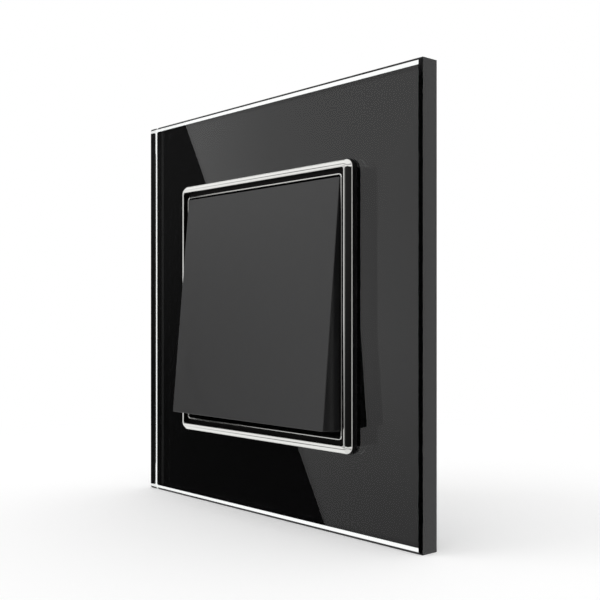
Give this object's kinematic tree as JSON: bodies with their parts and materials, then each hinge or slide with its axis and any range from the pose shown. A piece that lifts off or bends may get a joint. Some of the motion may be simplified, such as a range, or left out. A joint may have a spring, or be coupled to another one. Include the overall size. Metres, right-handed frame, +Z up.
{
  "type": "rocker light switch",
  "caption": "Flush-mounted two-way rocker light switch with a square black glass panel, chrome trim ring, black rocker and screw terminals.",
  "frame": {"origin": "on the wall plane, behind the middle of the panel, midway between the fixing slots", "axes": "+Z up, +X to the right as seen from the room, -Y out of the wall towards the room"},
  "size_m": [0.08, 0.033, 0.08],
  "materials": {
    "glass_panel": "polished float glass",
    "backing_film": "gloss black",
    "bonding_tape": "black foam tape",
    "carrier_frame": "moulded black",
    "support_plate": "bright zinc plated",
    "insert_bezel": "moulded black",
    "chrome_ring": "mirror chrome",
    "mechanism_housing": "light grey moulded",
    "flange_rivets": "plain",
    "rear_cover": "light grey moulded",
    "cover_screws": "zinc plated",
    "common_strip": "plain",
    "lower_strip": "plain",
    "upper_strip": "plain",
    "fixed_contacts": "silver alloy",
    "common_terminal_cage": "zinc plated",
    "lower_terminal_cage": "zinc plated",
    "upper_terminal_cage": "zinc plated",
    "common_terminal_screw": "zinc plated",
    "lower_terminal_screw": "zinc plated",
    "upper_terminal_screw": "zinc plated",
    "rocker_cap": "satin black",
    "rocker_cradle": "natural nylon",
    "plunger": "white acetal",
    "plunger_spring": "spring steel",
    "contact_lever": "copper alloy",
    "moving_contacts": "silver alloy"
  },
  "bodies": {
    "switch": {"glass_panel": "glass_panel", "backing_film": "backing_film", "bonding_tape": "bonding_tape", "carrier_frame": "carrier_frame", "support_plate": "support_plate", "insert_bezel": "insert_bezel", "chrome_ring": "chrome_ring", "mechanism_housing": "mechanism_housing", "flange_rivets": "flange_rivets", "rear_cover": "rear_cover", "cover_screws": "cover_screws", "common_strip": "common_strip", "lower_strip": "lower_strip", "upper_strip": "upper_strip", "fixed_contacts": "fixed_contacts"},
    "rocker": {"rocker_cap": "rocker_cap", "rocker_cradle": "rocker_cradle", "plunger_spring": "plunger_spring"},
    "plunger": {"plunger": "plunger"},
    "lever": {"contact_lever": "contact_lever", "moving_contacts": "moving_contacts"},
    "common_screw": {"common_terminal_screw": "common_terminal_screw"},
    "common_cage": {"common_terminal_cage": "common_terminal_cage"},
    "lower_screw": {"lower_terminal_screw": "lower_terminal_screw"},
    "lower_cage": {"lower_terminal_cage": "lower_terminal_cage"},
    "upper_screw": {"upper_terminal_screw": "upper_terminal_screw"},
    "upper_cage": {"upper_terminal_cage": "upper_terminal_cage"}
  },
  "joints": [
    {"name": "rocker_hinge", "type": "hinge", "parent": "switch", "child": "rocker", "pos_m": [0, -0.0058, 0], "axis": [1, 0, 0], "range_deg": [0, 10.4]},
    {"name": "plunger_slide", "type": "slide", "parent": "rocker", "child": "plunger", "axis": [0, -0.9959, 0.0906], "range_m": [0, 0.0012], "stiffness_N_per_m": 150, "springref_m": -0.002, "deforming": ["plunger_spring"]},
    {"name": "lever_hinge", "type": "hinge", "parent": "switch", "child": "lever", "pos_m": [0, 0.00865, 0], "axis": [1, 0, 0], "range_deg": [-10, 0]},
    {"name": "common_cage_slide", "type": "slide", "parent": "switch", "child": "common_cage", "axis": [0, 1, 0], "range_m": [0, 0.0024]},
    {"name": "common_screw_turn", "type": "hinge", "parent": "switch", "child": "common_screw", "pos_m": [0.0085, 0.0153, -0.0168], "axis": [0, -1, 0], "range_deg": [0, 1728]},
    {"name": "lower_cage_slide", "type": "slide", "parent": "switch", "child": "lower_cage", "axis": [0, 1, 0], "range_m": [0, 0.0024]},
    {"name": "lower_screw_turn", "type": "hinge", "parent": "switch", "child": "lower_screw", "pos_m": [0, 0.0153, -0.0168], "axis": [0, -1, 0], "range_deg": [0, 1728]},
    {"name": "upper_cage_slide", "type": "slide", "parent": "switch", "child": "upper_cage", "axis": [0, 1, 0], "range_m": [0, 0.0024]},
    {"name": "upper_screw_turn", "type": "hinge", "parent": "switch", "child": "upper_screw", "pos_m": [-0.0085, 0.0153, -0.0168], "axis": [0, -1, 0], "range_deg": [0, 1728]}
  ],
  "couplings": [
    {"joint": "lever_hinge", "follows": "rocker_hinge", "ratio": -0.96153},
    {"joint": "common_screw_turn", "follows": "common_cage_slide", "rad_per_m": 12566},
    {"joint": "lower_screw_turn", "follows": "lower_cage_slide", "rad_per_m": 12566},
    {"joint": "upper_screw_turn", "follows": "upper_cage_slide", "rad_per_m": 12566}
  ]
}
